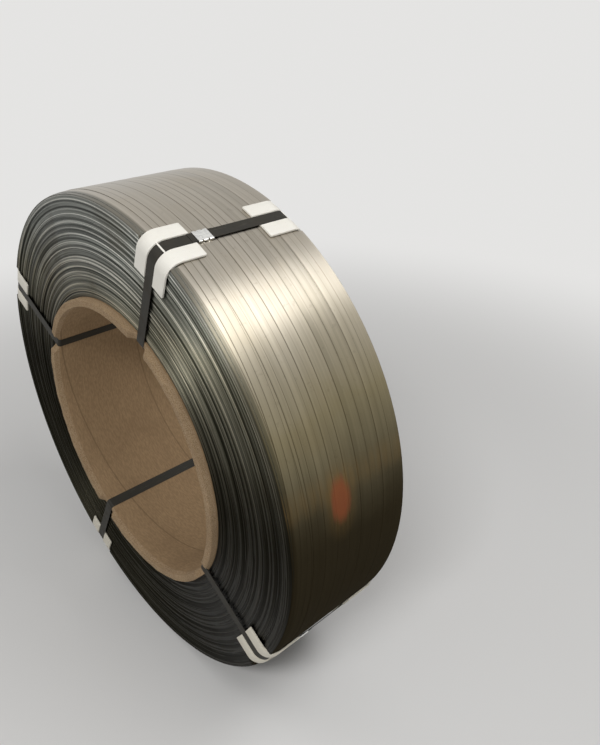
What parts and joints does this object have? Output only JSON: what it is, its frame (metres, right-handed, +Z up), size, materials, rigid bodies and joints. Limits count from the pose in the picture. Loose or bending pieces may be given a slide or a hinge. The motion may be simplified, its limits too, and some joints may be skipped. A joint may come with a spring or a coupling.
{
  "type": "steel coil",
  "caption": "Strapped slit coil of narrow steel strip, wound to and fro on a paperboard core, standing on its round outside",
  "frame": {"origin": "on the floor under the middle of the coil, at the bottom centre of its bounding box", "axes": "+X along the bore's axis, +Z up, -Y the side where the strapped front shows"},
  "size_m": [0.259, 0.8799, 0.88],
  "materials": {
    "strip_steel": "oiled cold-rolled strip, brushed round the coil, turns showing on the ends",
    "core_board": "tan paperboard, frayed at the rim",
    "strap_steel": "black waxed steel strapping",
    "seal_steel": "bright crimped sheet",
    "guard_plastic": "white moulded plastic"
  },
  "bodies": {
    "root": {"strip_winding": "strip_steel", "core_sleeve": "core_board", "strap_1": "strap_steel", "strap_seal_1": "seal_steel", "edge_guard_1_left": "guard_plastic", "edge_guard_1_right": "guard_plastic", "strap_2": "strap_steel", "strap_seal_2": "seal_steel", "edge_guard_2_left": "guard_plastic", "edge_guard_2_right": "guard_plastic", "strap_3": "strap_steel", "strap_seal_3": "seal_steel", "edge_guard_3_left": "guard_plastic", "edge_guard_3_right": "guard_plastic", "strap_4": "strap_steel", "strap_seal_4": "seal_steel", "edge_guard_4_left": "guard_plastic", "edge_guard_4_right": "guard_plastic"}
  },
  "joints": []
}
